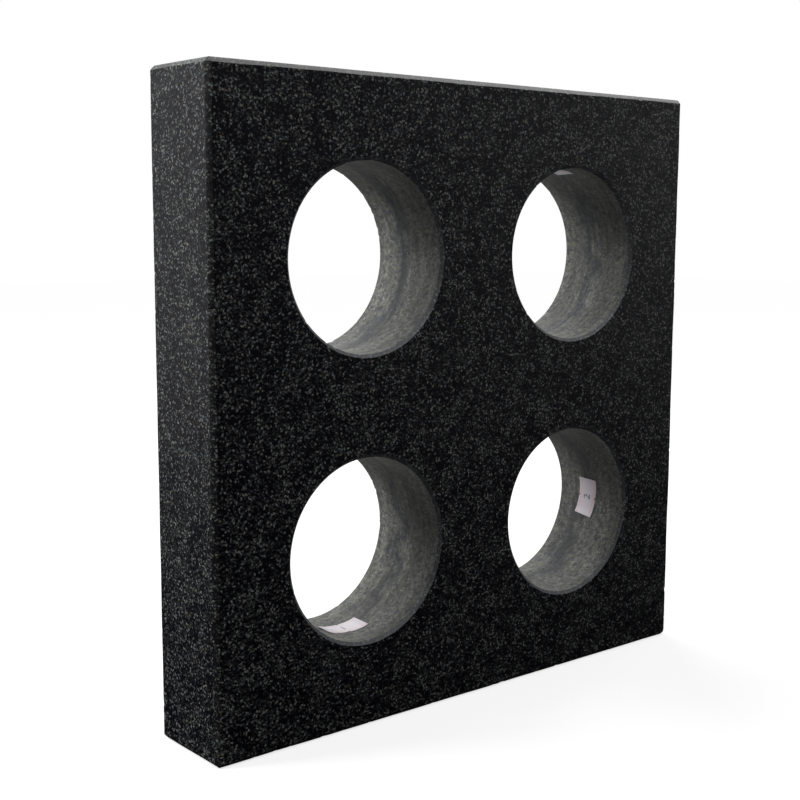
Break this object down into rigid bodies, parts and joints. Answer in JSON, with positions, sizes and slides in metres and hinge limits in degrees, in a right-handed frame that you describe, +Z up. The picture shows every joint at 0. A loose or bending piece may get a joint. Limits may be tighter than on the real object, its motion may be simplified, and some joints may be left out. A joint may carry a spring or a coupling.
{
  "type": "granite square",
  "caption": "Upright block of lapped black granite with cored bores, for checking squareness and straightness; small paper labels lie on the bore walls.",
  "frame": {"origin": "middle of the base face, which the square stands on", "axes": "+Z up, along the upright working faces; +X to the right along the front face; +Y from the front face to the back face, through the bores"},
  "size_m": [0.3, 0.048, 0.3],
  "materials": {
    "black_granite": "lapped, satin",
    "label_paper": "coated label paper"
  },
  "bodies": {
    "root": {"granite_block": "black_granite", "lower_left_label": "label_paper", "lower_right_label": "label_paper", "upper_right_label": "label_paper"}
  },
  "joints": []
}
